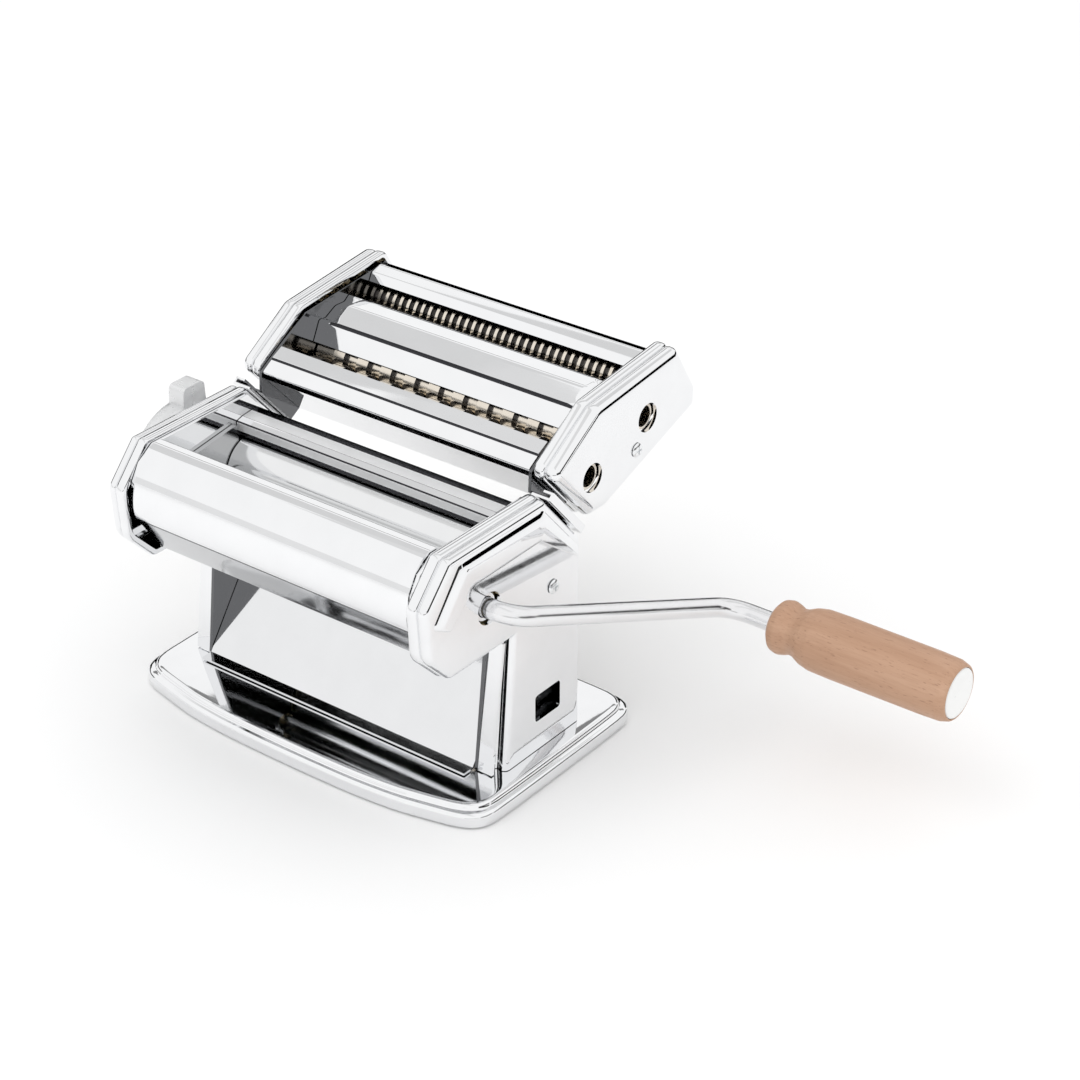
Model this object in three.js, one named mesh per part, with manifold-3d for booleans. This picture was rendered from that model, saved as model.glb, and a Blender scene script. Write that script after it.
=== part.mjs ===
// Hand-cranked pasta roller machine with a two-way cutter head.
// Millimetres, +Z up, +X towards the crank side, +Y towards the back.
// Origin: the middle of the base, on the surface that the rubber feet stand on.
import * as THREE from "three";
import { mergeVertices } from "three/addons/utils/BufferGeometryUtils.js";
import Module from "manifold-3d";

// ---------------------------------------------------------------- driving dimensions
const BASE_HALF_W = 94.5; // half width of the base along X
const BASE_TOP = 9.7; // height of the base's flat top
const LEG_Z = 10.0; // underside of the side frames and covers
const FRAME_IN = 72.6; // inner face of a side frame
const FRAME_T = 1.6; // side frame sheet
const COVER_IN = 74.5; // inner edge of a side cover
const COVER_OUT = 84.0; // flat outer face of a side cover
const GUARD_IN = 70.3; // inner face of a dough guard
const WALL = 1.6; // side cover wall
const SHEET = 1.0; // sheet of the long covers
const ROLLER_R = 14; // smooth rollers
const ROLLER_HALF = 69.9; // half length of a smooth roller's barrel
const DRIVE_AX = [-28.6, 92.3]; // fixed, cranked roller (y, z)
const REAR_AX = [1.8, 92.3]; // adjustable roller at its widest setting
const GAP_TRAVEL = 2.2; // how far the adjustable roller closes up
const KNOB_AX = [-13.4, 92.3]; // thickness knob and its cam
const ROD_R = 4.25; // crank rod, 8.5 mm bar
const SOCKET_R = 4.55; // sockets that the crank rod goes into
const CRANK_START = 95; // where the crank rod turns into its arm
const CRANK_END = [125, 79.4, 56.3]; // where the arm turns out to the grip
const GRIP_X = [148, 233]; // wooden grip, along X
const GRIP_R = 13.4; // wooden grip radius
const WIDE_AX = [37.8, 121.1]; // driven cutter of the wide pair
const FINE_AX = [75.1, 132.8]; // driven cutter of the fine pair
const CUT_DIST = 16.4; // distance between the two cutters of a pair
const CUT_TILT = Math.atan2(4.41, 15.8); // slope of the line between them
const CUT_R = 9; // cutter disc radius
const CUT_CORE = 6.9; // cutter core radius
const FINE_PITCH = 4; // 2 mm noodles
const WIDE_PITCH = 13; // 6.5 mm noodles
const CUT_HALF = 70; // half length of a cutter
const RAMP = (49 * Math.PI) / 180; // slope of the rear chamfer that carries the cutter head

const wasm = await Module();
wasm.setup();
const V3 = THREE.Vector3;

// ---------------------------------------------------------------- geometry helpers
// One closed, outward-facing surface with shared vertices.
function closed(g) {
  const flat = g.index ? g.toNonIndexed() : g;
  const only = new THREE.BufferGeometry().setAttribute(
    "position",
    flat.getAttribute("position").clone(),
  );
  const m = mergeVertices(only, 1e-4);
  const p = m.attributes.position.array;
  const src = m.index.array;
  const tri = [];
  let vol = 0;
  for (let i = 0; i < src.length; i += 3) {
    const [a, b, c] = [src[i], src[i + 1], src[i + 2]];
    if (a === b || b === c || a === c) continue;
    tri.push(a, b, c);
    const A = new V3(p[3 * a], p[3 * a + 1], p[3 * a + 2]);
    const B = new V3(p[3 * b], p[3 * b + 1], p[3 * b + 2]);
    const C = new V3(p[3 * c], p[3 * c + 1], p[3 * c + 2]);
    vol += A.dot(B.cross(C));
  }
  if (vol < 0)
    for (let i = 0; i < tri.length; i += 3)
      [tri[i + 1], tri[i + 2]] = [tri[i + 2], tri[i + 1]];
  m.setIndex(tri);
  return m;
}
const solid = (g) => {
  const c = closed(g);
  return new wasm.Manifold(
    new wasm.Mesh({
      numProp: 3,
      vertProperties: new Float32Array(c.attributes.position.array),
      triVerts: new Uint32Array(c.index.array),
    }),
  );
};
const geometryOf = (s) => {
  const m = s.getMesh();
  return new THREE.BufferGeometry()
    .setAttribute(
      "position",
      new THREE.BufferAttribute(new Float32Array(m.vertProperties), 3),
    )
    .setIndex(new THREE.BufferAttribute(new Uint32Array(m.triVerts), 1));
};
const join = (...gs) => geometryOf(gs.map(solid).reduce((a, b) => a.add(b)));
const cut = (g, ...tools) =>
  geometryOf(tools.map(solid).reduce((a, b) => a.subtract(b), solid(g)));

function shapeOf(points, holes = []) {
  const s = new THREE.Shape(points.map(([a, b]) => new THREE.Vector2(a, b)));
  for (const h of holes)
    s.holes.push(new THREE.Path(h.map(([a, b]) => new THREE.Vector2(a, b))));
  return s;
}
// A (y, z) outline from x0 to x1.
function alongX(points, x0, x1, holes = []) {
  const g = new THREE.ExtrudeGeometry(shapeOf(points, holes), {
    depth: x1 - x0,
    bevelEnabled: false,
  });
  const m = new THREE.Matrix4().makeBasis(
    new V3(0, 1, 0),
    new V3(0, 0, 1),
    new V3(1, 0, 0),
  );
  m.setPosition(x0, 0, 0);
  return closed(g.applyMatrix4(m));
}
// An (x, y) outline from z0 to z1.
function alongZ(points, z0, z1, holes = []) {
  const g = new THREE.ExtrudeGeometry(shapeOf(points, holes), {
    depth: z1 - z0,
    bevelEnabled: false,
  });
  return closed(g.translate(0, 0, z0));
}
function block(x0, x1, y0, y1, z0, z1) {
  const g = new THREE.BoxGeometry(x1 - x0, y1 - y0, z1 - z0);
  return closed(
    g.translate((x0 + x1) / 2, (y0 + y1) / 2, (z0 + z1) / 2),
  );
}
// A turned piece on the X axis: profile of (x, radius).
function turnedX(profile, segments = 24, start = 0) {
  const g = new THREE.LatheGeometry(
    profile.map(([x, r]) => new THREE.Vector2(r, x)),
    segments,
    start,
  );
  const m = new THREE.Matrix4().makeBasis(
    new V3(0, 0, 1),
    new V3(1, 0, 0),
    new V3(0, 1, 0),
  );
  return closed(g.applyMatrix4(m));
}
const rodX = (x0, x1, r, y = 0, z = 0, segments = 12) =>
  turnedX(
    [
      [x0, 0],
      [x0, r],
      [x1, r],
      [x1, 0],
    ],
    segments,
  ).translate(0, y, z);
const ringX = (x0, x1, ri, ro, y, z, segments = 16) =>
  turnedX(
    [
      [x0, ri],
      [x0, ro],
      [x1, ro],
      [x1, ri],
      [x0, ri],
    ],
    segments,
  ).translate(0, y, z);
const circle = (y, z, r, n = 16) =>
  Array.from({ length: n }, (_, i) => [
    y + r * Math.cos((2 * Math.PI * i) / n),
    z + r * Math.sin((2 * Math.PI * i) / n),
  ]);
// A slot from (y0, z) to (y1, z) of radius r.
const slotY = (y0, y1, z, r, n = 8) => [
  ...Array.from({ length: n + 1 }, (_, i) => [
    y1 + r * Math.sin((Math.PI * i) / n),
    z - r * Math.cos((Math.PI * i) / n),
  ]),
  ...Array.from({ length: n + 1 }, (_, i) => [
    y0 - r * Math.sin((Math.PI * i) / n),
    z + r * Math.cos((Math.PI * i) / n),
  ]),
];
// Rounds each corner [a, b, radius] of an outline, open or closed.
function rounded(points, n = 3, open = false) {
  const out = [];
  const k = points.length;
  points.forEach(([a, b, r = 0], i) => {
    if (!r || (open && (i === 0 || i === k - 1))) {
      out.push([a, b]);
      return;
    }
    const P = points[(i + k - 1) % k];
    const N = points[(i + 1) % k];
    const u = new THREE.Vector2(P[0] - a, P[1] - b);
    const v = new THREE.Vector2(N[0] - a, N[1] - b);
    const lu = u.length();
    const lv = v.length();
    u.divideScalar(lu);
    v.divideScalar(lv);
    const half = Math.acos(THREE.MathUtils.clamp(u.dot(v), -1, 1)) / 2;
    const t = Math.min(r / Math.tan(half), 0.49 * lu, 0.49 * lv);
    const rr = t * Math.tan(half);
    const mid = u.clone().add(v).normalize();
    const cx = a + (mid.x * rr) / Math.sin(half);
    const cy = b + (mid.y * rr) / Math.sin(half);
    let a0 = Math.atan2(b + u.y * t - cy, a + u.x * t - cx);
    let a1 = Math.atan2(b + v.y * t - cy, a + v.x * t - cx);
    if (a1 - a0 > Math.PI) a1 -= 2 * Math.PI;
    if (a1 - a0 < -Math.PI) a1 += 2 * Math.PI;
    for (let j = 0; j <= n; j++) {
      const w = a0 + ((a1 - a0) * j) / n;
      out.push([cx + rr * Math.cos(w), cy + rr * Math.sin(w)]);
    }
  });
  return out;
}
// The outline moved inwards by d, corner radii reduced to match.
function inset(points, d) {
  let area = 0;
  const k = points.length;
  points.forEach((p, i) => {
    const q = points[(i + 1) % k];
    area += p[0] * q[1] - q[0] * p[1];
  });
  const s = area > 0 ? 1 : -1;
  const line = (p, q) => {
    const l = Math.hypot(q[0] - p[0], q[1] - p[1]);
    const nx = (-(q[1] - p[1]) / l) * s;
    const ny = ((q[0] - p[0]) / l) * s;
    return [p[0] + nx * d, p[1] + ny * d, (q[0] - p[0]) / l, (q[1] - p[1]) / l];
  };
  return points.map((p, i) => {
    const A = line(points[(i + k - 1) % k], p);
    const B = line(p, points[(i + 1) % k]);
    const det = A[2] * B[3] - A[3] * B[2];
    const t = ((B[0] - A[0]) * B[3] - (B[1] - A[1]) * B[2]) / det;
    return [A[0] + A[2] * t, A[1] + A[3] * t, Math.max((p[2] || 0) - d, 0.3)];
  });
}
// A bent sheet: an open (y, z) path made into an outline t thick, on its left side.
function sheet(path, t) {
  const pts = rounded(path, 2, true);
  const off = pts.map((p, i) => {
    const dir = (a, b) => {
      const l = Math.hypot(b[0] - a[0], b[1] - a[1]);
      return [(b[0] - a[0]) / l, (b[1] - a[1]) / l];
    };
    const d1 = i > 0 ? dir(pts[i - 1], p) : dir(p, pts[i + 1]);
    const d2 = i < pts.length - 1 ? dir(p, pts[i + 1]) : d1;
    const n1 = [-d1[1], d1[0]];
    const n2 = [-d2[1], d2[0]];
    const m = [n1[0] + n2[0], n1[1] + n2[1]];
    const l2 = m[0] * m[0] + m[1] * m[1];
    const k = (2 * t) / l2;
    return [p[0] + m[0] * k, p[1] + m[1] * k];
  });
  return [...pts, ...off.reverse()];
}
// A spur gear on the X axis with straight-sided teeth.
function gear(x0, x1, teeth, root, tip, wRoot, wTip, bore, turn) {
  const pts = [];
  for (let i = 0; i < teeth; i++) {
    const a = turn + (2 * Math.PI * i) / teeth;
    const c = Math.cos(a);
    const s = Math.sin(a);
    for (const [r, w] of [
      [root, -wRoot],
      [tip, -wTip],
      [tip, wTip],
      [root, wRoot],
    ])
      pts.push([c * r - (s * w) / 2, s * r + (c * w) / 2]);
  }
  return alongX(pts, x0, x1, [circle(0, 0, bore, 12)]);
}

// ---------------------------------------------------------------- materials
const mat = (color, roughness, metalness) => () =>
  new THREE.MeshStandardMaterial({ color, roughness, metalness });
const chrome = mat(0xe6e8ea, 0.06, 1);
const steel = mat(0xc9ccd0, 0.28, 1);
const plate = mat(0xd4d7da, 0.12, 1);
const brass = mat(0xb79a5b, 0.35, 1);
const wood = mat(0xc99a70, 0.55, 0);
const plastic = mat(0xf2f2f0, 0.35, 0);
const knobGrey = mat(0xd9dadb, 0.3, 0.1);
const rubber = mat(0x1c1c1e, 0.9, 0);

const machine = new THREE.Group();
const body = new THREE.Group();
const drive = new THREE.Group();
drive.position.set(0, DRIVE_AX[0], DRIVE_AX[1]);
const rear = new THREE.Group();
rear.position.set(0, REAR_AX[0], REAR_AX[1]);
const knob = new THREE.Group();
knob.position.set(0, KNOB_AX[0], KNOB_AX[1]);
const head = new THREE.Group();
machine.add(body, drive, rear, knob, head);
function put(parent, name, geometry, material) {
  const m = new THREE.Mesh(geometry, material());
  m.name = name;
  parent.add(m);
  return m;
}

// ---------------------------------------------------------------- base
const baseHalf = [
  [0, -59.5],
  [35, -59],
  [57, -57],
  [72.5, -53.6],
  [82, -51.4],
  [88.5, -48.6],
  [92.9, -43.8],
  [94.5, -36.7],
  [94.5, 46.5],
  [93, 53],
  [89, 57.6],
  [82.5, 59.5],
];
function baseOutline(d) {
  const sx = (BASE_HALF_W - d) / BASE_HALF_W;
  const sy = (59.5 - d) / 59.5;
  const right = baseHalf.map(([x, y]) => [x * sx, y * sy]);
  const left = right
    .slice(1)
    .reverse()
    .map(([x, y]) => [-x, y]);
  return [...right, ...left];
}
// Closed skin through outlines at rising heights.
function lofted(levels) {
  const n = levels[0][1].length;
  const pos = [];
  const idx = [];
  levels.forEach(([z, pts]) => pts.forEach(([x, y]) => pos.push(x, y, z)));
  for (let l = 0; l + 1 < levels.length; l++)
    for (let i = 0; i < n; i++) {
      const j = (i + 1) % n;
      const a = l * n + i;
      const b = l * n + j;
      idx.push(a, b, b + n, a, b + n, a + n);
    }
  const tris = THREE.ShapeUtils.triangulateShape(
    levels[0][1].map(([x, y]) => new THREE.Vector2(x, y)),
    [],
  );
  const top = (levels.length - 1) * n;
  for (const [a, b, c] of tris) {
    idx.push(c, b, a);
    idx.push(top + a, top + b, top + c);
  }
  const g = new THREE.BufferGeometry();
  g.setAttribute("position", new THREE.Float32BufferAttribute(pos, 3));
  g.setIndex(idx);
  return closed(g);
}
put(
  body,
  "base_pan",
  cut(
    lofted([
      [1.0, baseOutline(0)],
      [5.6, baseOutline(0)],
      [7.4, baseOutline(1.7)],
      [7.9, baseOutline(3.4)],
      [BASE_TOP, baseOutline(4.4)],
    ]),
    lofted([
      [-2, baseOutline(1.4)],
      [5.2, baseOutline(1.4)],
      [8.3, baseOutline(5.6)],
    ]),
  ),
  chrome,
);
// The pads are set flush into the closing plate.
const PADS = [
  ["front_left", -76, -40],
  ["front_right", 76, -40],
  ["rear_left", -76, 44],
  ["rear_right", 76, 44],
];
put(
  body,
  "base_underplate",
  alongZ(
    baseOutline(1.9),
    0,
    2.2,
    PADS.map(([, x, y]) => circle(x, y, 7.3, 16)),
  ),
  steel,
);
for (const [n, x, y] of PADS)
  put(
    body,
    "rubber_foot_" + n,
    alongZ(circle(x, y, 7, 16), 0, 2),
    rubber,
  );

// ---------------------------------------------------------------- side frames, guards and covers
const COVER = [
  [-52.4, 124.6, 4],
  [-67.8, 107.7, 6],
  [-66.2, 84.6, 10],
  [-52.6, 70.3, 5],
  [-14.2, 70.3, 2],
  [-20.3, LEG_Z, 1],
  [31.5, LEG_Z, 1],
  [31.5, 97.2, 5],
  [7.5, 124.7, 4],
];
const BAND = [
  [-63.2, 99, 2],
  [-46.2, 120.8, 5],
  [5.6, 120.9, 5],
  [29.0, 94.2, 4],
  [29.0, 88.8, 1],
  [2.8, 107.6, 3],
  [-38, 107.2, 3],
  [-53.4, 93.6, 2],
];
const FRAME = [
  [-49.6, 122.6],
  [-58.0, 117.2],
  [-62.4, 109.8],
  [-63.4, 101],
  [-61.6, 93.4],
  [-50.4, 75.8],
  [-17.3, 75.8],
  [-25.1, LEG_Z + 0.3],
  [29.6, LEG_Z + 0.3],
  [29.6, 95.6],
  [6.2, 122.6],
];
const CLAMP = [
  [0.5, 23.7, 1.5],
  [17, 23.7, 1.5],
  [17, 36.3, 1.5],
  [0.5, 36.3, 1.5],
];
for (const s of [1, -1]) {
  const side = s > 0 ? "right" : "left";
  const X = (a, b) => (s > 0 ? [a, b] : [-b, -a]);
  const ex = (pts, a, b, holes) => alongX(pts, ...X(a, b), holes);

  // Side frame: sheet with a front flange on its leg and a foot flange on the base.
  const plateIn = FRAME_IN;
  const plateOut = FRAME_IN + FRAME_T;
  const frameHoles = [
    circle(DRIVE_AX[0], DRIVE_AX[1], 9.3, 16),
    slotY(REAR_AX[0] - GAP_TRAVEL, REAR_AX[0], REAR_AX[1], 7),
    slotY(13.5 - GAP_TRAVEL, 13.5, 74, 3.6, 5),
    rounded(CLAMP, 2),
    ...(s < 0 ? [circle(KNOB_AX[0], KNOB_AX[1], 2.8, 8)] : []),
  ];
  const flange = sheet(
    [
      [-16.9, 69],
      [-25.1, LEG_Z + 0.3],
    ],
    FRAME_T,
  );
  put(
    body,
    "side_frame_" + side,
    join(
      ex(FRAME, plateIn, plateOut, frameHoles),
      ex(flange, plateIn, 81.4),
      block(...X(plateIn, 80.4), -17.2, 28.4, LEG_Z + 0.3, LEG_Z + 1.9),
    ),
    steel,
  );

  // Dough guard beside the rollers.
  put(
    body,
    "dough_guard_" + side,
    ex(
      [
        [-41.8, 108.2],
        [-41.8, 79],
        [14, 79],
        [14, 105.4],
        [-3.2, 105.4],
        [-3.4, 113.2],
      ],
      GUARD_IN,
      72.3,
      [
        circle(DRIVE_AX[0], DRIVE_AX[1], 7.6, 14),
        slotY(REAR_AX[0] - GAP_TRAVEL, REAR_AX[0], REAR_AX[1], 6.2, 6),
      ],
    ),
    plate,
  );

  // Side cover: rim, groove, domed face and raised band, hollow towards the frame.
  const outer = join(
    ex(rounded(COVER, 2), COVER_IN, 79.3),
    ex(rounded(inset(COVER, 1.1), 2), 79.2, 80.4),
    ex(rounded(inset(COVER, 0.7), 2), 80.3, 82.2),
    ex(rounded(inset(COVER, 1.9), 2), 82.1, COVER_OUT),
    ex(rounded(BAND, 1), COVER_OUT - 0.1, COVER_OUT + 1.7),
  );
  const tools = [
    ex(rounded(inset(COVER, WALL + 1.1), 1), 70, COVER_OUT - WALL),
    ex(rounded(CLAMP, 2), 80, 90),
    rodX(...X(80, 90), 1.9, 12.1, 83, 8),
    block(...X(70, COVER_OUT - WALL), -17.4, 28.8, 5, 14),
  ];
  if (s > 0)
    tools.push(rodX(80, 90, 7, DRIVE_AX[0], DRIVE_AX[1], 20));
  else tools.push(rodX(-90, -80, 5, KNOB_AX[0], KNOB_AX[1], 14));
  put(body, "side_cover_" + side, cut(outer, ...tools), chrome);
  put(
    body,
    "cover_screw_" + side,
    join(
      rodX(...X(COVER_OUT + 0.3, COVER_OUT + 1.5), 3.1, 12.1, 83, 12),
      rodX(...X(COVER_OUT - 1.6, COVER_OUT + 0.5), 1.5, 12.1, 83, 6),
    ),
    steel,
  );

  // Bush of the driven roller in the frame.
  put(
    body,
    "drive_bush_" + side,
    ringX(...X(72.5, 76.3), s > 0 ? 6.5 : 5.3, 9, ...DRIVE_AX, 16),
    brass,
  );
  // Bearing block of the adjustable roller; the left one is thick enough to meet the cam.
  const bearing = [
    [-5.6, 84.6],
    [7.4, 83.4],
    [10, 70.5],
    [17, 70.5],
    [17, 77.5],
    [10.4, 86],
    [10.4, 101],
    [-5.6, 101],
  ];
  put(
    rear,
    "rear_bearing_" + side,
    ex(bearing, 74.6, s > 0 ? 76.7 : 80.4, [
      circle(REAR_AX[0], REAR_AX[1], 5.3, 14),
      circle(13.5, 74, 2.3, 8),
    ]).translate(0, -REAR_AX[0], -REAR_AX[1]),
    brass,
  );
}
put(
  rear,
  "bearing_tie_rod",
  rodX(-78, 78, 2, 13.5, 74, 8).translate(0, -REAR_AX[0], -REAR_AX[1]),
  steel,
);

// ---------------------------------------------------------------- long covers, guide, rods, scrapers
put(
  body,
  "front_cover",
  alongX(
    sheet(
      [
        [-42.2, 106],
        [-45.3, 123.3, 0.8],
        [-50.4, 123.6, 2],
        [-58, 118.2, 6],
        [-63.2, 110.5, 8],
        [-64.3, 101, 8],
        [-62.3, 92.8, 1],
        [-50.8, 75.2, 1],
        [-45, 74.5],
      ],
      SHEET,
    ),
    -72.3,
    72.3,
  ),
  chrome,
);
put(
  body,
  "rear_cover",
  alongX(
    sheet(
      [
        [-1.0, 106.9],
        [-1.8, 113.2, 0.6],
        [2.0, 114.3, 0.6],
        [11.3, 115.2, 1],
        [28.9, 95.1, 3],
        [28.9, 76],
      ],
      -SHEET,
    ),
    -72.3,
    72.3,
  ),
  chrome,
);
put(
  body,
  "dough_guide",
  alongX(
    sheet(
      [
        [-31.5, LEG_Z + 0.3],
        [-25.4, LEG_Z + 0.3, 0.5],
        [25.5, 81.5, 1],
        [25.5, 90],
      ],
      SHEET,
    ),
    -72.3,
    72.3,
  ),
  chrome,
);
for (const [n, y, z, r] of [
  ["front_upper", -53.5, 99, 3],
  ["front_lower", -46.6, 80.6, 2.5],
  ["rear_upper", 19.2, 99, 2.8],
  ["rear_lower", 23.5, 36, 3],
])
  put(body, "tie_rod_" + n, rodX(-72.3, 72.3, r, y, z, 8), steel);
put(
  body,
  "front_scraper",
  alongX(
    sheet(
      [
        [-43.8, 79.0],
        [-38.0, 80.4],
      ],
      0.8,
    ),
    -70,
    70,
  ),
  plate,
);
put(
  body,
  "rear_scraper",
  alongX(
    sheet(
      [
        [10.9, 81.3],
        [19.6, 80.4],
      ],
      -0.8,
    ),
    -70,
    70,
  ),
  plate,
);

// ---------------------------------------------------------------- rails that carry the cutter head
// A point on the rear chamfer: d runs back and down it, n stands out from it.
const ramp = (d, n) => [
  d * Math.cos(RAMP) + n * Math.sin(RAMP),
  -d * Math.sin(RAMP) + n * Math.cos(RAMP),
];
const rampBox = (d0, d1, n0, n1, x0, x1) =>
  alongX([ramp(d0, n0), ramp(d1, n0), ramp(d1, n1), ramp(d0, n1)], x0, x1);
for (const s of [1, -1]) {
  const side = s > 0 ? "right" : "left";
  const X = (a, b) => (s > 0 ? [a, b] : [-b, -a]);
  put(
    body,
    "head_rail_" + side,
    join(
      rampBox(-86.5, -55, 87.9, 88.9, ...X(75, 84.4)),
      rampBox(-86.5, -55, 88.8, 91.5, ...X(83.4, 84.4)),
      rampBox(-86.5, -55, 90.5, 91.5, ...X(79.5, 83.5)),
      rampBox(-56, -55, 88.8, 90.6, ...X(75, 83.5)),
    ),
    chrome,
  );
}

// ---------------------------------------------------------------- smooth rollers
put(
  drive,
  "drive_roller",
  turnedX(
    [
      [-81.5, 0],
      [-81.5, 5],
      [-ROLLER_HALF, 5],
      [-ROLLER_HALF, ROLLER_R],
      [ROLLER_HALF, ROLLER_R],
      [ROLLER_HALF, 6.2],
      [82, 6.2],
      [82, SOCKET_R],
      [64, SOCKET_R],
      [64, 0],
    ],
    24,
  ),
  steel,
);
put(
  drive,
  "drive_roller_gear",
  gear(77.2, 81.4, 12, 10.6, 17.2, 3.2, 1.4, 6.5, 0),
  brass,
);
put(
  rear,
  "adjustable_roller",
  turnedX(
    [
      [-81.5, 0],
      [-81.5, 5],
      [-ROLLER_HALF, 5],
      [-ROLLER_HALF, ROLLER_R],
      [ROLLER_HALF, ROLLER_R],
      [ROLLER_HALF, 5],
      [81.7, 5],
      [81.7, 0],
    ],
    24,
  ),
  steel,
);
put(
  rear,
  "adjustable_roller_gear",
  gear(77.2, 81.4, 12, 10.6, 17.2, 3.2, 1.4, 5.3, Math.PI / 12),
  brass,
);

// ---------------------------------------------------------------- crank
class CrankLine extends THREE.Curve {
  constructor(points, radius) {
    super();
    const v = points.map((p) => new V3(...p));
    this.path = new THREE.CurvePath();
    let from = v[0];
    for (let i = 1; i < v.length - 1; i++) {
      const u = v[i - 1].clone().sub(v[i]).normalize();
      const w = v[i + 1].clone().sub(v[i]).normalize();
      const a = v[i].clone().addScaledVector(u, radius);
      const b = v[i].clone().addScaledVector(w, radius);
      this.path.add(new THREE.LineCurve3(from, a));
      this.path.add(new THREE.QuadraticBezierCurve3(a, v[i], b));
      from = b;
    }
    this.path.add(new THREE.LineCurve3(from, v[v.length - 1]));
  }
  getPoint(t, target = new V3()) {
    return target.copy(this.path.getPoint(t));
  }
}
const crankPath = new CrankLine(
  [
    [66, 0, 0],
    [CRANK_START, 0, 0],
    [CRANK_END[0], CRANK_END[1] - DRIVE_AX[0], CRANK_END[2] - DRIVE_AX[1]],
    [GRIP_X[1] - 6, CRANK_END[1] - DRIVE_AX[0], CRANK_END[2] - DRIVE_AX[1]],
  ],
  11,
);
put(
  drive,
  "crank_rod",
  closed(
    new THREE.ExtrudeGeometry(shapeOf(circle(0, 0, ROD_R, 8)), {
      extrudePath: crankPath,
      steps: 44,
      bevelEnabled: false,
    }),
  ),
  chrome,
);
const grip = new THREE.Group();
grip.position.set(
  0,
  CRANK_END[1] - DRIVE_AX[0],
  CRANK_END[2] - DRIVE_AX[1],
);
drive.add(grip);
const GX = GRIP_X[0];
const BORE = ROD_R + 0.35;
put(
  grip,
  "crank_grip",
  turnedX(
    [
      [GX, BORE],
      [GX, 9.2],
      [GX + 1.6, 11],
      [GX + 4.4, 11.7],
      [GX + 7.2, 10.9],
      [GX + 9.5, 10.0],
      [GX + 12, 10.3],
      [GX + 16, 12.2],
      [GX + 20.5, 13.2],
      [GX + 30, GRIP_R],
      [GX + 72, 13.3],
      [GX + 82, 13],
      [GX + 84.2, 12.2],
      [GX + 85, 11.3],
      [GX + 85, 10.9],
      [GX + 82.6, 10.9],
      [GX + 82.6, BORE],
      [GX, BORE],
    ],
    20,
  ),
  wood,
);
put(
  grip,
  "grip_end_plug",
  turnedX(
    [
      [GX + 80.4, 0],
      [GX + 80.4, BORE - 0.4],
      [GX + 82.9, BORE - 0.4],
      [GX + 82.9, 10.6],
      [GX + 84.9, 10.6],
      [GX + 85.5, 9.6],
      [GX + 85.7, 0],
    ],
    20,
  ),
  plastic,
);

// ---------------------------------------------------------------- thickness knob and cam
const tab = rounded(
  [
    [-3.2, 20],
    [-2.1, 36.2, 2.5],
    [10.2, 36.2, 2.5],
    [11.2, 20],
  ],
  2,
);
put(
  knob,
  "thickness_knob",
  join(
    turnedX(
      [
        [-98, 0],
        [-98, 26.6],
        [-96.6, 28.4],
        [-89.6, 28.4],
        [-88.4, 27.2],
        [-88.4, 4.1],
        [-96, 4.1],
        [-96, 0],
      ],
      28,
    ),
    alongX(tab, -97.2, -88.6),
  ),
  knobGrey,
);
put(
  knob,
  "adjuster_cam",
  join(
    rodX(-95.6, -80.1, 3.7, 0, 0, 12),
    rodX(-80.2, -77.2, 6, 1.12, 0, 20),
    rodX(-77.3, -72.8, 2.5, 0, 0, 8),
  ),
  steel,
);

// ---------------------------------------------------------------- cutter head
const HEAD = [
  [11, 131.2, 5],
  [41.8, 150.8, 8],
  [97, 156.6, 5],
  [111.5, 133, 5],
  [111, 123.8, 4],
  [48, 102.3, 6],
  [37, 102.6, 4],
];
const second = ([y, z]) => [
  y + CUT_DIST * Math.cos(CUT_TILT),
  z + CUT_DIST * Math.sin(CUT_TILT),
];
const WIDE2 = second(WIDE_AX);
const FINE2 = second(FINE_AX);
const HEAD_FRAME = [
  ramp(-83, 89.2),
  [13.4, 130.2],
  [42.6, 147.3],
  [95.6, 152.5],
  [107.9, 132.3],
  [107.4, 126.2],
  [47.6, 106],
  [37.5, 106],
  ramp(-57, 89.2),
];
for (const s of [1, -1]) {
  const side = s > 0 ? "right" : "left";
  const X = (a, b) => (s > 0 ? [a, b] : [-b, -a]);
  const ex = (pts, a, b, holes) => alongX(pts, ...X(a, b), holes);
  const driven = s > 0 ? 5.9 : 3.8;
  put(
    head,
    "cutter_frame_" + side,
    join(
      ex(HEAD_FRAME, 70.9, 72.3, [
        circle(...WIDE_AX, driven, 12),
        circle(...WIDE2, 3.8, 12),
        circle(...FINE_AX, driven, 12),
        circle(...FINE2, 3.8, 12),
      ]),
      rampBox(-83, -57, 89.2, 90.2, ...X(72.2, 83.1)),
    ),
    steel,
  );
  const outer = join(
    ex(rounded(HEAD, 2), 72.6, 77.6),
    ex(rounded(inset(HEAD, 1.0), 2), 77.5, 78.6),
    ex(rounded(inset(HEAD, 0.6), 2), 78.5, 81.6),
    ex(rounded(inset(HEAD, 2.2), 2), 81.5, 84.2),
  );
  const tools = [
    ex(rounded(inset(HEAD, 2.4), 1), 70, 82.6),
    rodX(...X(80, 90), 1.9, 67.7, 121.1, 8),
  ];
  if (s > 0)
    tools.push(
      rodX(80, 90, 6.3, ...WIDE_AX, 18),
      rodX(80, 90, 6.3, ...FINE_AX, 18),
    );
  put(head, "cutter_cover_" + side, cut(outer, ...tools), chrome);
  put(
    head,
    "cutter_screw_" + side,
    join(
      rodX(...X(84.5, 85.6), 3.1, 67.7, 121.1, 12),
      rodX(...X(82.7, 84.6), 1.5, 67.7, 121.1, 6),
    ),
    steel,
  );
}
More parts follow.
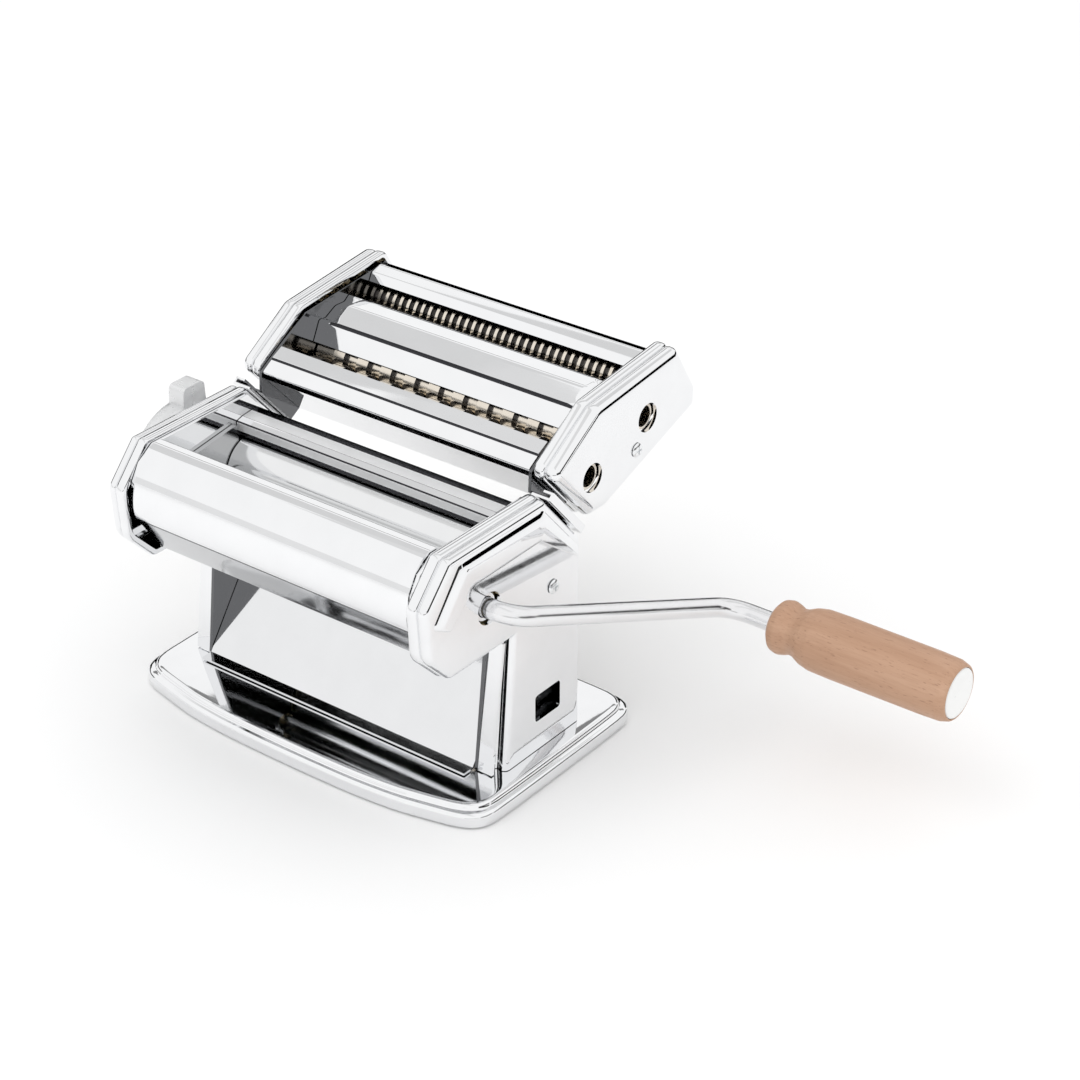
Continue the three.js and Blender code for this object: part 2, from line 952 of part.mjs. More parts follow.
put(
  head,
  "cutter_front_cover",
  alongX(
    sheet(
      [
        [26, 138],
        [20.2, 135.2],
        [19.4, 134.2],
        [13.8, 130.7, 1.2],
        [15.6, 126.6, 1],
        [35.2, 105],
      ],
      SHEET,
    ),
    -70.6,
    70.6,
  ),
  chrome,
);
put(
  head,
  "cutter_centre_cover",
  alongX(
    sheet(
      [
        [46.2, 132.6],
        [50.2, 140.8, 1],
        [61, 146.2, 3],
        [70.6, 145.8, 0.6],
        [69.8, 141.5],
      ],
      -SHEET,
    ),
    -70.6,
    70.6,
  ),
  chrome,
);
put(
  head,
  "cutter_rear_cover",
  alongX(
    sheet(
      [
        [83.4, 147.4],
        [85.2, 150.9, 2],
        [91, 152.7, 3],
        [96.6, 151.3, 3],
        [107.6, 133, 2],
        [107.2, 125.4, 1],
        [97.6, 121.8],
      ],
      -SHEET,
    ),
    -70.6,
    70.6,
  ),
  chrome,
);

// A cutter: discs on a core; the driven one ends in a socket for the crank.
function cutter(centres, half, driven, segments) {
  const p = [
    [-81.5, 0],
    [-81.5, 3.5],
    [-CUT_HALF - 0.2, 3.5],
    [-CUT_HALF - 0.2, CUT_CORE],
  ];
  for (const c of centres)
    p.push(
      [c - half, CUT_CORE],
      [c - half, CUT_R],
      [c + half, CUT_R],
      [c + half, CUT_CORE],
    );
  p.push([CUT_HALF + 0.2, CUT_CORE]);
  const bore = SOCKET_R / Math.cos(Math.PI / segments); // its flats clear the rod
  if (driven)
    p.push(
      [CUT_HALF + 0.2, 5.7],
      [82, 5.7],
      [82, bore],
      [66, bore],
      [66, 0],
    );
  else p.push([CUT_HALF + 0.2, 3.5], [79, 3.5], [79, 0]);
  return turnedX(p, segments);
}
const row = (from, pitch, n) =>
  Array.from({ length: n }, (_, i) => from + pitch * i);
for (const [name, ax, front, back, half, seg] of [
  ["wide", WIDE_AX, row(-62.9, WIDE_PITCH, 10), row(-56.4, WIDE_PITCH, 10), 3.05, 12],
  ["fine", FINE_AX, row(-66.9, FINE_PITCH, 34), row(-68.9, FINE_PITCH, 35), 0.85, 8],
]) {
  const pair = new THREE.Group();
  pair.position.set(0, ax[0], ax[1]);
  pair.rotation.x = CUT_TILT;
  head.add(pair);
  put(pair, name + "_cutter_front", cutter(front, half, true, seg), steel);
  put(
    pair,
    name + "_cutter_rear",
    cutter(back, half, false, seg).translate(0, CUT_DIST, 0),
    steel,
  );
  put(
    pair,
    name + "_gear_front",
    gear(-80.6, -76.6, 12, 6.7, 9.4, 2, 1, 3.8, 0),
    brass,
  );
  put(
    pair,
    name + "_gear_rear",
    gear(-80.6, -76.6, 12, 6.7, 9.4, 2, 1, 3.8, Math.PI / 12).translate(
      0,
      CUT_DIST,
      0,
    ),
    brass,
  );
  // Scraper blades under the pair.
  const blade = (y, z, a, r1) => {
    const c = Math.cos(a);
    const sn = Math.sin(a);
    return alongX(
      sheet(
        [
          [y + c * 9.5, z + sn * 9.5],
          [y + c * r1, z + sn * r1],
        ],
        0.8,
      ),
      -70.2,
      70.2,
    );
  };
  put(
    head,
    name + "_scraper_front",
    blade(ax[0], ax[1], (-107 * Math.PI) / 180, 12.6),
    plate,
  );
  const b = second(ax);
  put(
    head,
    name + "_scraper_rear",
    blade(b[0], b[1], (-62 * Math.PI) / 180, 13),
    plate,
  );
}

export default machine;
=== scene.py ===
"""Pasta roller machine: polished pressed sheet, smooth rollers, a two-way cutter head,
a bent crank rod with a turned beech grip.  Lengths in the code are millimetres."""

import math
import random

import bmesh
import bpy
from mathutils import Matrix, Vector
from mathutils.geometry import tessellate_polygon


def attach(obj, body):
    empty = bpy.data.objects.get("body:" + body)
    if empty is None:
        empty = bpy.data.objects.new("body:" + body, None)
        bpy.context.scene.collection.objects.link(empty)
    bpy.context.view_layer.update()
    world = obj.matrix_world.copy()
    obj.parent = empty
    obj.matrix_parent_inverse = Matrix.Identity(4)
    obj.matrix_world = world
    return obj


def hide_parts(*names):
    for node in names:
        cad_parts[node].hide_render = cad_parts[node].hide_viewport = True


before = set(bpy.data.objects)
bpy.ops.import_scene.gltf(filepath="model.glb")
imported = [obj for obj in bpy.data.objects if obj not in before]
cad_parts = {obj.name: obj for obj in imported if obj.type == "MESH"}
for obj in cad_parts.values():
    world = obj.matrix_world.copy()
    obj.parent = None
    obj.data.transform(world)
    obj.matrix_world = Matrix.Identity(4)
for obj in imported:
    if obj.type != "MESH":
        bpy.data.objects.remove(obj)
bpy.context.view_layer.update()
MM = 0.001

# ---------------------------------------------------------------- dimensions
BASE_TOP, LEG_Z = 9.7, 10.0
COVER_OUT, WALL, SHEET = 84.0, 1.6, 1.0
DRIVE, REAR, KNOB = (-28.6, 92.3), (1.8, 92.3), (-13.4, 92.3)
WIDE1, FINE1 = (37.8, 121.1), (75.1, 132.8)
DIST, TILT = 16.4, math.atan2(4.41, 15.8)
second = lambda a: (a[0] + DIST * math.cos(TILT), a[1] + DIST * math.sin(TILT))
WIDE2, FINE2 = second(WIDE1), second(FINE1)
RAMP = math.radians(49)
CRANK_END = (125, 79.4, 56.3)
GRIP_X = 148.0

# ---------------------------------------------------------------- outlines
def rounded(points, n=8, is_open=False):
    out, k = [], len(points)
    for i, p in enumerate(points):
        a, b = p[0], p[1]
        r = p[2] if len(p) > 2 else 0
        if not r or (is_open and i in (0, k - 1)):
            out.append((a, b))
            continue
        P, N = points[(i - 1) % k], points[(i + 1) % k]
        u, v = Vector((P[0] - a, P[1] - b)), Vector((N[0] - a, N[1] - b))
        lu, lv = u.length, v.length
        u, v = u / lu, v / lv
        half = math.acos(max(-1, min(1, u.dot(v)))) / 2
        t = min(r / math.tan(half), 0.49 * lu, 0.49 * lv)
        rr = t * math.tan(half)
        mid = (u + v).normalized()
        cx, cy = a + mid.x * rr / math.sin(half), b + mid.y * rr / math.sin(half)
        a0 = math.atan2(b + u.y * t - cy, a + u.x * t - cx)
        a1 = math.atan2(b + v.y * t - cy, a + v.x * t - cx)
        if a1 - a0 > math.pi:
            a1 -= 2 * math.pi
        if a1 - a0 < -math.pi:
            a1 += 2 * math.pi
        for j in range(n + 1):
            w = a0 + (a1 - a0) * j / n
            out.append((cx + rr * math.cos(w), cy + rr * math.sin(w)))
    return out


def inset(points, d):
    k = len(points)
    area = sum(points[i][0] * points[(i + 1) % k][1] - points[(i + 1) % k][0] * points[i][1] for i in range(k))
    s = 1 if area > 0 else -1

    def line(p, q):
        l = math.hypot(q[0] - p[0], q[1] - p[1])
        nx, ny = -(q[1] - p[1]) / l * s, (q[0] - p[0]) / l * s
        return p[0] + nx * d, p[1] + ny * d, (q[0] - p[0]) / l, (q[1] - p[1]) / l

    out = []
    for i, p in enumerate(points):
        A, B = line(points[(i - 1) % k], p), line(p, points[(i + 1) % k])
        det = A[2] * B[3] - A[3] * B[2]
        t = ((B[0] - A[0]) * B[3] - (B[1] - A[1]) * B[2]) / det
        out.append((A[0] + A[2] * t, A[1] + A[3] * t, max((p[2] if len(p) > 2 else 0) - d, 0.3)))
    return out


def offset_path(pts, t):
    out = []
    for i, p in enumerate(pts):
        def dirn(a, b):
            l = math.hypot(b[0] - a[0], b[1] - a[1]) or 1e-9
            return (b[0] - a[0]) / l, (b[1] - a[1]) / l
        d1 = dirn(pts[i - 1], p) if i > 0 else dirn(p, pts[i + 1])
        d2 = dirn(p, pts[i + 1]) if i < len(pts) - 1 else d1
        m = (-d1[1] - d2[1], d1[0] + d2[0])
        k = 2 * t / (m[0] ** 2 + m[1] ** 2)
        out.append((p[0] + m[0] * k, p[1] + m[1] * k))
    return out


def sheet(path, t, n=8):
    pts = rounded(path, n, True)
    return pts + offset_path(pts, t)[::-1]


def circle(y, z, r, n=40):
    return [(y + r * math.cos(2 * math.pi * i / n), z + r * math.sin(2 * math.pi * i / n)) for i in range(n)]


def slot(y0, y1, z, r, n=12):
    a = [(y1 + r * math.sin(math.pi * i / n), z - r * math.cos(math.pi * i / n)) for i in range(n + 1)]
    b = [(y0 - r * math.sin(math.pi * i / n), z + r * math.cos(math.pi * i / n)) for i in range(n + 1)]
    return a + b


# ---------------------------------------------------------------- mesh builders: all return (verts, faces) in mm
def prism(outline, x0, x1, holes=()):
    loops = [list(outline)] + [list(h) for h in holes]
    tris = tessellate_polygon([[Vector((p[0], p[1], 0)) for p in l] for l in loops])
    flat = [p for l in loops for p in l]
    n = len(flat)
    verts = [(x0, p[0], p[1]) for p in flat] + [(x1, p[0], p[1]) for p in flat]
    faces = []
    start = 0
    for l in loops:
        k = len(l)
        for i in range(k):
            a, b = start + i, start + (i + 1) % k
            faces.append((a, b, b + n, a + n))
        start += k
    if holes:
        for t in tris:
            faces.append(tuple(t))
            faces.append(tuple(i + n for i in t))
    else:
        faces.append(tuple(range(n)))
        faces.append(tuple(range(2 * n - 1, n - 1, -1)))
    return verts, faces


def loft(levels, axis="x"):
    n = len(levels[0][1])
    verts = [((c, p[0], p[1]) if axis == "x" else (p[0], p[1], c)) for c, pts in levels for p in pts]
    faces = []
    for l in range(len(levels) - 1):
        for i in range(n):
            j = (i + 1) % n
            a, b = l * n + i, l * n + j
            faces.append((a, b, b + n, a + n))
    faces.append(tuple(range(n)))
    top = (len(levels) - 1) * n
    faces.append(tuple(range(top + n - 1, top - 1, -1)))
    return verts, faces


def turned(profile, y=0, z=0, seg=48, phase=0.0):
    verts, rings, faces = [], [], []
    for x, r in profile:
        if r < 1e-6:
            verts.append((x, y, z))
            rings.append([len(verts) - 1])
        else:
            ring = []
            for i in range(seg):
                a = phase + 2 * math.pi * i / seg
                verts.append((x, y + r * math.cos(a), z + r * math.sin(a)))
                ring.append(len(verts) - 1)
            rings.append(ring)
    for A, B in zip(rings, rings[1:]):
        for i in range(seg):
            j = (i + 1) % seg
            if len(A) == 1 and len(B) == 1:
                continue
            if len(A) == 1:
                faces.append((A[0], B[i], B[j]))
            elif len(B) == 1:
                faces.append((A[i], B[0], A[j]))
            else:
                faces.append((A[i], B[i], B[j], A[j]))
    return verts, faces


def box(x0, x1, y0, y1, z0, z1):
    v = [(x, y, z) for x in (x0, x1) for y in (y0, y1) for z in (z0, z1)]
    f = [(0, 1, 3, 2), (4, 6, 7, 5), (0, 4, 5, 1), (2, 3, 7, 6), (0, 2, 6, 4), (1, 5, 7, 3)]
    return v, f


def merge(*parts):
    verts, faces = [], []
    for v, f in parts:
        o = len(verts)
        verts += list(v)
        faces += [tuple(i + o for i in q) for q in f]
    return verts, faces


def mirror_x(part):
    return [(-x, y, z) for x, y, z in part[0]], part[1]


def mesh_of(name, part, weld=True):
    me = bpy.data.meshes.new(name)
    me.from_pydata([(x * MM, y * MM, z * MM) for x, y, z in part[0]], [], part[1])
    bm = bmesh.new()
    bm.from_mesh(me)
    if weld:
        bmesh.ops.remove_doubles(bm, verts=bm.verts, dist=2e-6)
    bmesh.ops.recalc_face_normals(bm, faces=bm.faces)
    bm.to_mesh(me)
    bm.free()
    return me


def boolean(me, others, how="DIFFERENCE"):
    """The mesh with each (verts, faces) solid taken off it, or added to it."""
    o = bpy.data.objects.new("work", me)
    bpy.context.scene.collection.objects.link(o)
    made = []
    for part in others:
        t = bpy.data.objects.new("tool", mesh_of("tool", part))
        bpy.context.scene.collection.objects.link(t)
        t.hide_render = True
        m = o.modifiers.new("b", "BOOLEAN")
        m.operation, m.solver, m.object = how, "EXACT", t
        made.append(t)
    dg = bpy.context.evaluated_depsgraph_get()
    out = bpy.data.meshes.new_from_object(o.evaluated_get(dg), depsgraph=dg)
    for t in made + [o]:
        d = t.data
        bpy.data.objects.remove(t)
        if d is not me:
            bpy.data.meshes.remove(d)
    return out


def piece(name, part, material, body, nodes=None, bevel=0.0, angle=32, seg=2, second_on=None, paint=()):
    me = part if isinstance(part, bpy.types.Mesh) else mesh_of(name, part)
    me.name = name
    me.materials.clear()
    me.materials.append(material)
    for p in me.polygons:
        p.use_smooth = True
        p.material_index = 0
    if second_on:
        me.materials.append(second_on[0])
        for p in me.polygons:
            if second_on[1](*(p.center / MM)):
                p.material_index = 1
    for mat, test in paint:
        if mat.name not in [m.name for m in me.materials]:
            me.materials.append(mat)
        at = [m.name for m in me.materials].index(mat.name)
        for p in me.polygons:
            if test(*(p.center / MM), p.normal):
                p.material_index = at
    o = bpy.data.objects.new(name, me)
    bpy.context.scene.collection.objects.link(o)
    if bevel:
        b = o.modifiers.new("edge", "BEVEL")
        b.width, b.segments, b.limit_method = bevel * MM, seg, "ANGLE"
        b.angle_limit = math.radians(38)
        b.harden_normals = True
        me.set_sharp_from_angle(angle=math.radians(60))
    else:
        me.set_sharp_from_angle(angle=math.radians(angle))
    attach(o, body)
    if nodes is None:
        nodes = [name.replace("look_", "")]
    if nodes:
        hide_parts(*nodes)
    return o


# ---------------------------------------------------------------- materials
class Nodes:
    def __init__(self, name, **values):
        self.m = bpy.data.materials.new("look_" + name)
        self.m.use_nodes = True
        self.t = self.m.node_tree
        self.b = self.t.nodes["Principled BSDF"]
        self.co = self.t.nodes.new("ShaderNodeTexCoord").outputs["Object"]
        for k, v in values.items():
            self.b.inputs[k.replace("_", " ")].default_value = v

    def noise(self, scale, stretch=(1, 1, 1), detail=4, rough=0.55, distort=0.0):
        mp = self.t.nodes.new("ShaderNodeMapping")
        mp.inputs["Scale"].default_value = stretch
        self.t.links.new(self.co, mp.inputs["Vector"])
        n = self.t.nodes.new("ShaderNodeTexNoise")
        n.inputs["Scale"].default_value = scale
        n.inputs["Detail"].default_value = detail
        n.inputs["Roughness"].default_value = rough
        n.inputs["Distortion"].default_value = distort
        self.t.links.new(mp.outputs[0], n.inputs["Vector"])
        return n.outputs["Fac"]

    def span(self, fac, a, b, lo=0.3, hi=0.7):
        r = self.t.nodes.new("ShaderNodeMapRange")
        r.inputs["From Min"].default_value, r.inputs["From Max"].default_value = lo, hi
        r.inputs["To Min"].default_value, r.inputs["To Max"].default_value = a, b
        self.t.links.new(fac, r.inputs["Value"])
        return r.outputs["Result"]

    def ramp(self, fac, stops):
        r = self.t.nodes.new("ShaderNodeValToRGB")
        e = r.color_ramp.elements
        while len(e) < len(stops):
            e.new(0.5)
        for el, (p, c) in zip(e, stops):
            el.position, el.color = p, (*c, 1)
        self.t.links.new(fac, r.inputs["Fac"])
        return r.outputs["Color"]

    def mix(self, fac, a, b, blend="MIX"):
        m = self.t.nodes.new("ShaderNodeMix")
        m.data_type, m.blend_type = "RGBA", blend
        for s, v in ((m.inputs[0], fac), (m.inputs[6], a), (m.inputs[7], b)):
            if isinstance(v, (int, float)):
                s.default_value = v
            elif isinstance(v, tuple):
                s.default_value = (*v, 1)
            else:
                self.t.links.new(v, s)
        return m.outputs[2]

    def bump(self, height, distance, strength=1.0, prev=None):
        b = self.t.nodes.new("ShaderNodeBump")
        b.inputs["Distance"].default_value = distance
        b.inputs["Strength"].default_value = strength
        self.t.links.new(height, b.inputs["Height"])
        if prev is not None:
            self.t.links.new(prev, b.inputs["Normal"])
        return b.outputs["Normal"]

    def to(self, socket, value):
        self.t.links.new(value, self.b.inputs[socket])
        return self


def chrome_like(name, color, r0, r1, wave=0.00012, scratch=0.000004, dirs=(6, 500, 500)):
    n = Nodes(name, Metallic=1.0, Roughness=r0)
    tone = n.noise(60, detail=3)
    n.to("Base Color", n.ramp(tone, [(0.25, tuple(c * 0.965 for c in color)), (0.75, color)]))
    n.to("Roughness", n.span(n.noise(90, detail=5), r0, r1))
    first = n.bump(n.noise(16, detail=1, rough=0.4), wave)
    n.to("Normal", n.bump(n.noise(1.0, dirs, detail=3), scratch, prev=first))
    return n.m


CHROME = chrome_like("polished_sheet", (0.88, 0.885, 0.895), 0.025, 0.06, wave=0.00008)
CHROME_ROD = chrome_like("polished_rod", (0.84, 0.84, 0.85), 0.16, 0.24, wave=0.00003)
PLATE = chrome_like("bright_plate", (0.80, 0.805, 0.815), 0.04, 0.09, wave=0.00025, scratch=0.000006)
# Near-black copy of the chrome for the inner frame walls: painted shade.
FRAME_SHADE_STEEL = chrome_like("frame_steel", (0.15, 0.152, 0.158), 0.06, 0.13, wave=0.0003, scratch=0.000006)
STEEL = chrome_like("satin_steel", (0.86, 0.87, 0.88), 0.14, 0.24, wave=0.00003, scratch=0.00001, dirs=(900, 40, 40))
ROLLER = chrome_like("ground_roller", (0.82, 0.825, 0.83), 0.07, 0.14, wave=0.00001, scratch=0.000006, dirs=(1500, 30, 30))
# Mid-grey copy of the chrome, darkened so the dough guards read as the dark area round the roller ends: painted shade.
GUARD = chrome_like("guard_sheet", (0.50, 0.505, 0.51), 0.12, 0.2, wave=0.00006, scratch=0.000005)
CUTTER = chrome_like("cutter_steel", (0.80, 0.735, 0.64), 0.14, 0.26, wave=0.00001, scratch=0.00001, dirs=(900, 60, 60))
# Pale, part-metallic copy of the chrome: a painted highlight, so the rear cover's lip and flat top read white.
PAINTED_HIGHLIGHT_SATIN = chrome_like("painted_highlight_satin", (0.93, 0.935, 0.94), 0.3, 0.42, wave=0.00002, scratch=0.000008, dirs=(40, 900, 900))
PAINTED_HIGHLIGHT_SATIN.node_tree.nodes["Principled BSDF"].inputs["Metallic"].default_value = 0.4
# Darker grey copy of the chrome: painted shade and reflection for the front cover's lower fold.
LOWER_FOLD_SHADE = chrome_like("lower_fold_painted_shade", (0.60, 0.605, 0.615), 0.06, 0.12, wave=0.00006)
SHADE = chrome_like("shaded_edge", (0.045, 0.045, 0.05), 0.1, 0.2, wave=0.00002)
BRONZE = chrome_like("gear_bronze", (0.72, 0.6, 0.38), 0.3, 0.45, wave=0.00001)


def wood():
    n = Nodes("turned_beech", Roughness=0.42)
    n.b.inputs["Specular IOR Level"].default_value = 0.35
    broad = n.noise(1.0, (9, 90, 70), detail=5, rough=0.6, distort=0.25)
    tone = n.ramp(broad, [(0.28, (0.43, 0.245, 0.15)), (0.5, (0.50, 0.30, 0.195)), (0.74, (0.57, 0.36, 0.245))])
    fine = n.noise(1.0, (60, 900, 900), detail=4, rough=0.65)
    tone = n.mix(n.span(fine, 0.0, 0.35, 0.45, 0.75), tone, (0.36, 0.195, 0.115))
    fleck = n.noise(1.0, (260, 1500, 1500), detail=2)
    tone = n.mix(n.span(fleck, 0.0, 0.55, 0.62, 0.7), tone, (0.28, 0.145, 0.085))
    n.to("Base Color", tone)
    n.to("Roughness", n.span(fine, 0.36, 0.52))
    n.to("Normal", n.bump(fine, 0.00005, prev=n.bump(fleck, 0.00004)))
    return n.m


def plain(name, color, rough, var=0.05, bump=0.00001, scale=300, **kw):
    n = Nodes(name, **kw)
    tone = n.noise(scale / 4, detail=3)
    n.to("Base Color", n.ramp(tone, [(0.3, tuple(c * (1 - var) for c in color)), (0.7, color)]))
    f = n.noise(scale, detail=5)
    n.to("Roughness", n.span(f, rough * 0.85, rough * 1.2))
    n.to("Normal", n.bump(f, bump))
    return n.m


WOOD = wood()
WHITE = plain("white_plastic", (0.86, 0.86, 0.85), 0.32, 0.03)
KNOBM = plain("knob_plastic", (0.74, 0.745, 0.75), 0.3, 0.04, Metallic=0.55)
RUBBER = plain("foot_rubber", (0.03, 0.03, 0.032), 0.8, 0.3, 0.00006, 900)
DARK = plain("recess_dark", (0.02, 0.02, 0.022), 0.5, 0.3, 0.00002, 500)

# ---------------------------------------------------------------- base
HALF = [(0, -59.5), (35, -59), (57, -57), (72.5, -53.6), (82, -51.4), (88.5, -48.6), (92.9, -43.8), (94.5, -36.7),
        (94.5, 46.5), (93, 53), (89, 57.6), (82.5, 59.5)]


def base_outline(d):
    sx, sy = (94.5 - d) / 94.5, (59.5 - d) / 59.5
    right = [(x * sx, y * sy) for x, y in HALF]
    pts = right + [(-x, y) for x, y in right[:0:-1]]
    for _ in range(2):
        out = []
        for i, p in enumerate(pts):
            q = pts[(i + 1) % len(pts)]
            out += [(0.8 * p[0] + 0.2 * q[0], 0.8 * p[1] + 0.2 * q[1]), (0.2 * p[0] + 0.8 * q[0], 0.2 * p[1] + 0.8 * q[1])]
        pts = out
    return pts


BASE_LEVELS = [(2.4, 3.0), (1.0, 1.6), (1.0, 0.25), (1.25, 0.0), (5.3, 0.0), (5.9, 0.15), (6.5, 0.6), (6.95, 1.3), (7.15, 1.9),
               (7.25, 2.5), (7.45, 2.75), (8.3, 2.95), (8.9, 3.2), (9.35, 3.65), (9.6, 4.25), (9.7, 5.0)]
piece("look_base_pan", loft([(z, base_outline(d)) for z, d in BASE_LEVELS], "z"), CHROME, "machine", ["base_pan"], angle=50)
PADS = (("front_left", -76, -40), ("front_right", 76, -40), ("rear_left", -76, 44), ("rear_right", 76, 44))
lay_flat = lambda part: ([(b, c, a) for a, b, c in part[0]], part[1])
piece("look_base_underplate", lay_flat(prism(base_outline(1.9), 0.0, 2.2, [circle(x, y, 7.3) for n, x, y in PADS])), STEEL, "machine", ["base_underplate"], bevel=0.25)
for n, x, y in PADS:
    prof = [(2.0, 0), (2.0, 7), (0.25, 7), (0.0, 6.75), (0.0, 5.6), (0.5, 5.3), (0.5, 4.3), (0.0, 4.0), (0.0, 2.6), (0.5, 2.3), (0.5, 0.0)]
    piece("look_foot_" + n, lay_flat(turned(prof, x, y, 40)), RUBBER, "machine", ["rubber_foot_" + n])

# ---------------------------------------------------------------- side frames, guards, covers
COVER = [(-52.4, 124.6, 4), (-67.8, 107.7, 6), (-66.2, 84.6, 10), (-52.6, 70.3, 5), (-14.2, 70.3, 2), (-20.3, LEG_Z, 1),
         (31.5, LEG_Z, 1), (31.5, 97.2, 5), (7.5, 124.7, 4)]
BAND = [(-63.2, 99, 2), (-46.2, 120.8, 5), (5.6, 120.9, 5), (29.0, 94.2, 4), (29.0, 88.8, 1), (2.8, 107.6, 3),
        (-38, 107.2, 3), (-53.4, 93.6, 2)]
BAND_TOP = [(-57.6, 97.6, 2), (-43.2, 115.2, 5), (3.4, 115.4, 5), (25.4, 92.6, 4), (26.4, 91.2, 1), (2.3, 108.9, 3), (-38.7, 108.4, 3), (-54.4, 94.9, 2)]
FRAME = [(-49.6, 122.6), (-58.0, 117.2), (-62.4, 109.8), (-63.4, 101), (-61.6, 93.4), (-50.4, 75.8), (-17.3, 75.8),
         (-25.1, LEG_Z + 0.3), (29.6, LEG_Z + 0.3), (29.6, 95.6), (6.2, 122.6)]
CLAMP = [(0.5, 23.7, 1.5), (17, 23.7, 1.5), (17, 36.3, 1.5), (0.5, 36.3, 1.5)]


def side(part, s):
    return part if s > 0 else mirror_x(part)


def screw(s, y, z, x0=84.3, h=1.2, r=3.1):
    """Pan head with a cross recess."""
    head = turned([(x0 - 1.0, 0), (x0 - 1.0, 1.5), (x0, 1.5), (x0, r), (x0 + 0.25 * h, r), (x0 + 0.65 * h, r * 0.86), (x0 + 0.93 * h, r * 0.55), (x0 + h, 0)], y, z, 36)
    c = [box(x0 + h - 0.75, x0 + h + 1, y - 1.7, y + 1.7, z - 0.36, z + 0.36), box(x0 + h - 0.75, x0 + h + 1, y - 0.36, y + 0.36, z - 1.7, z + 1.7)]
    return boolean(mesh_of("w", side(head, s)), [side(q, s) for q in c])


for s in (1, -1):
    sd = "right" if s > 0 else "left"
    holes = [circle(*DRIVE, 9.3), slot(REAR[0] - 2.2, REAR[0], REAR[1], 7), slot(11.3, 13.5, 74, 3.6), rounded(CLAMP, 4)]
    if s < 0:
        holes.append(circle(*KNOB, 2.8, 24))
    flange = sheet([(-16.9, 69), (-25.1, LEG_Z + 0.3)], 1.6)
    rows = []
    for k in range(17):
        u = -1 + k / 8
        b = 0.9 * math.sqrt(max(0.0, 1 - u * u)) + 0.02
        rows.append((74.25 + 7.15 * k / 16, [flange[0], flange[1], (flange[2][0] - b, flange[2][1]), (flange[3][0] - b, flange[3][1])]))
    fr = merge(side(prism(FRAME, 72.6, 74.2, holes), s), side(loft(rows), s),
               side(box(74.25, 80.4, -17.2, 28.4, LEG_Z + 0.3, LEG_Z + 1.9), s))
    # The side frame's inner parts are painted near-black (painted shade); the outer leg flange, foot strip and the
    # frame above z 75 take the chrome.
    piece("look_side_frame_" + sd, fr, FRAME_SHADE_STEEL, "machine", ["side_frame_" + sd], bevel=0.18,
          second_on=(CHROME, lambda x, y, z: abs(x) > 74.22 or z > 75))
    # The dough guard takes the darkened guard grey: painted shade.
    guard = prism(rounded([(-41.8, 108.2, 1), (-41.8, 79, 2), (14, 79, 2), (14, 105.4, 2), (-3.2, 105.4, 0.5), (-3.4, 113.2, 1)], 6), 70.3, 72.3,
                  [circle(*DRIVE, 7.6), slot(REAR[0] - 2.2, REAR[0], REAR[1], 6.2)])
    piece("look_dough_guard_" + sd, side(guard, s), GUARD, "machine", ["dough_guard_" + sd], bevel=0.25)

    n = 10
    lv = [(82.4, 2.7), (74.5, 2.7), (74.5, 1.0), (74.65, 0.6), (75.1, 0.22), (75.8, 0.04), (76.6, 0.0), (77.6, 0.05), (78.4, 0.28), (78.95, 0.7), (79.2, 1.2),
          (79.35, 1.6), (79.7, 1.62), (79.85, 1.2), (80.15, 0.9), (80.7, 0.68), (81.4, 0.62), (82.1, 0.75), (82.7, 1.0), (83.2, 1.4), (83.6, 1.9),
          (83.85, 2.5), (84.0, 3.3)]
    low = [(p[0], p[1] - 6 if p[1] < 12 else p[1], p[2]) for p in COVER]
    shell = loft([(x, rounded(inset(low, d), n)) for x, d in lv])
    steps = []
    for t in (-0.3, 0.0, 0.08, 0.18, 0.3, 0.45, 0.6, 0.75, 0.9, 1.0):
        e = max(t, 0.0)
        x = 83.2 if t < 0 else 83.9 + 1.8 * math.sin(e * math.pi / 2) ** 0.8
        steps.append((x, rounded([(a[0] * (1 - e) + b[0] * e, a[1] * (1 - e) + b[1] * e, a[2]) for a, b in zip(BAND, BAND_TOP)], n)))
    band = loft(steps)
    me = boolean(mesh_of("w", side(shell, s)), [side(band, s)], "UNION")
    cuts = [loft([(80, rounded(CLAMP, 5)), (90, rounded(CLAMP, 5))]), turned([(83.0, 0), (83.0, 1.9), (90, 1.9), (90, 0)], 12.1, 83, 24),
            box(70, COVER_OUT - WALL, -17.4, 28.8, 2, 14), box(70, 95, -40, 50, -5, LEG_Z)]
    if s > 0:
        cuts.append(turned([(80, 0), (80, 7), (90, 7), (90, 0)], *DRIVE, 48))
    else:
        cuts.append(turned([(80, 0), (80, 5), (90, 5), (90, 0)], *KNOB, 48))
    me = boolean(me, [side(c, s) for c in cuts])
    piece("look_side_cover_" + sd, me, CHROME, "machine", ["side_cover_" + sd], angle=30)
    piece("look_cover_screw_" + sd, screw(s, 12.1, 83), STEEL, "machine", ["cover_screw_" + sd], angle=35)
    bush = turned([(72.5, 6.5 if s > 0 else 5.3), (72.5, 9), (76.3, 9), (76.3, 6.5 if s > 0 else 5.3), (72.5, 6.5 if s > 0 else 5.3)], *DRIVE, 48)
    piece("look_drive_bush_" + sd, side(bush, s), BRONZE, "machine", ["drive_bush_" + sd])
    bearing = [(-5.6, 84.6, 1), (7.4, 83.4, 1), (10, 70.5, 1), (17, 70.5, 1), (17, 77.5, 1), (10.4, 86, 1), (10.4, 101, 1), (-5.6, 101, 1)]
    piece("look_rear_bearing_" + sd, side(prism(rounded(bearing, 4), 74.6, 76.7 if s > 0 else 80.4, [circle(*REAR, 5.3), circle(13.5, 74, 2.3, 24)]), s),
          BRONZE, "roller_carriage", ["rear_bearing_" + sd], bevel=0.2)
